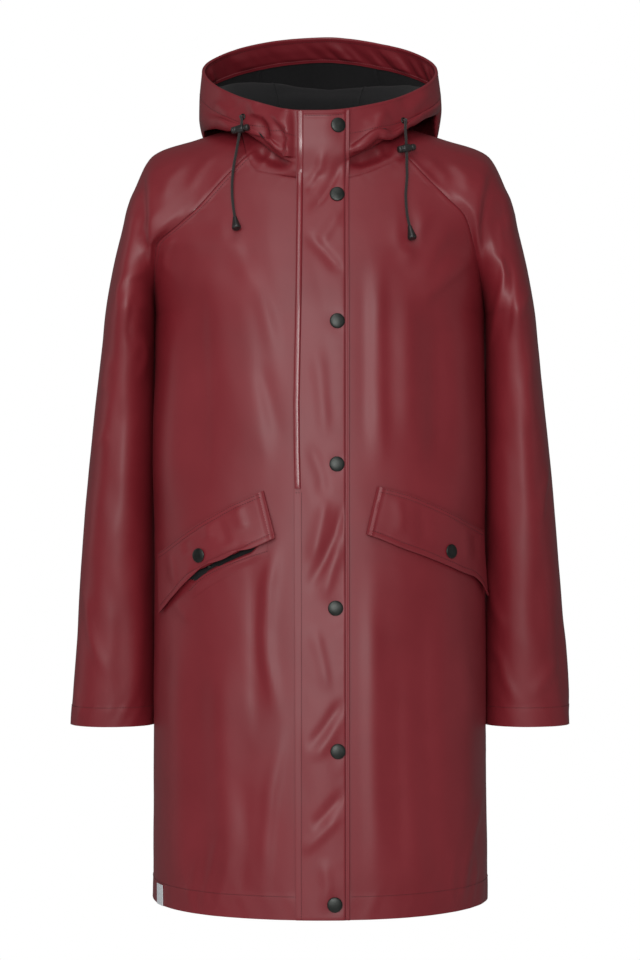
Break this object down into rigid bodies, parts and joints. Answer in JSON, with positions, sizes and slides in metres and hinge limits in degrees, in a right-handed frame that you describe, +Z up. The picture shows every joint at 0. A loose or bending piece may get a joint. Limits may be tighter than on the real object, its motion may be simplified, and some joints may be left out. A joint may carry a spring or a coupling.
{
  "type": "raincoat",
  "caption": "Hooded A-line raincoat in coated cloth, filled out as worn, with raglan sleeves, a snap storm flap and slanted flap pockets.",
  "frame": {"origin": "middle of the neck opening, level with the tops of the shoulders, where the wearer's neck and shoulders hold the coat", "axes": "+Z up, -Y out of the coat's front, +X across it, to the right of somebody who faces it"},
  "size_m": [0.578, 0.3623, 1.0081],
  "materials": {
    "coated_cloth": "semi-gloss coated cloth, dark knit inside",
    "dark_metal": "dark gunmetal, satin",
    "cord": "braided",
    "black_plastic": "moulded",
    "tab_cloth": "plain woven tape"
  },
  "bodies": {
    "root": {"front_left": "coated_cloth", "front_right": "coated_cloth", "back": "coated_cloth", "sleeve_left": "coated_cloth", "sleeve_right": "coated_cloth", "hood_left": "coated_cloth", "hood_middle": "coated_cloth", "hood_right": "coated_cloth", "hood_facing": "coated_cloth", "placket": "coated_cloth", "placket_welt": "coated_cloth", "pocket_flap_left": "coated_cloth", "pocket_flap_right": "coated_cloth", "pocket_lip_left": "coated_cloth", "pocket_stud_left": "dark_metal", "pocket_snap_left": "dark_metal", "pocket_snap_right": "dark_metal", "snap_1": "dark_metal", "snap_2": "dark_metal", "snap_3": "dark_metal", "snap_4": "dark_metal", "snap_5": "dark_metal", "snap_6": "dark_metal", "snap_7": "dark_metal", "eyelet_left": "dark_metal", "eyelet_right": "dark_metal", "drawcord_left": "cord", "drawcord_right": "cord", "cord_lock_left": "black_plastic", "cord_lock_right": "black_plastic", "cord_end_left": "black_plastic", "cord_end_right": "black_plastic", "hem_tab": "tab_cloth"}
  },
  "joints": []
}
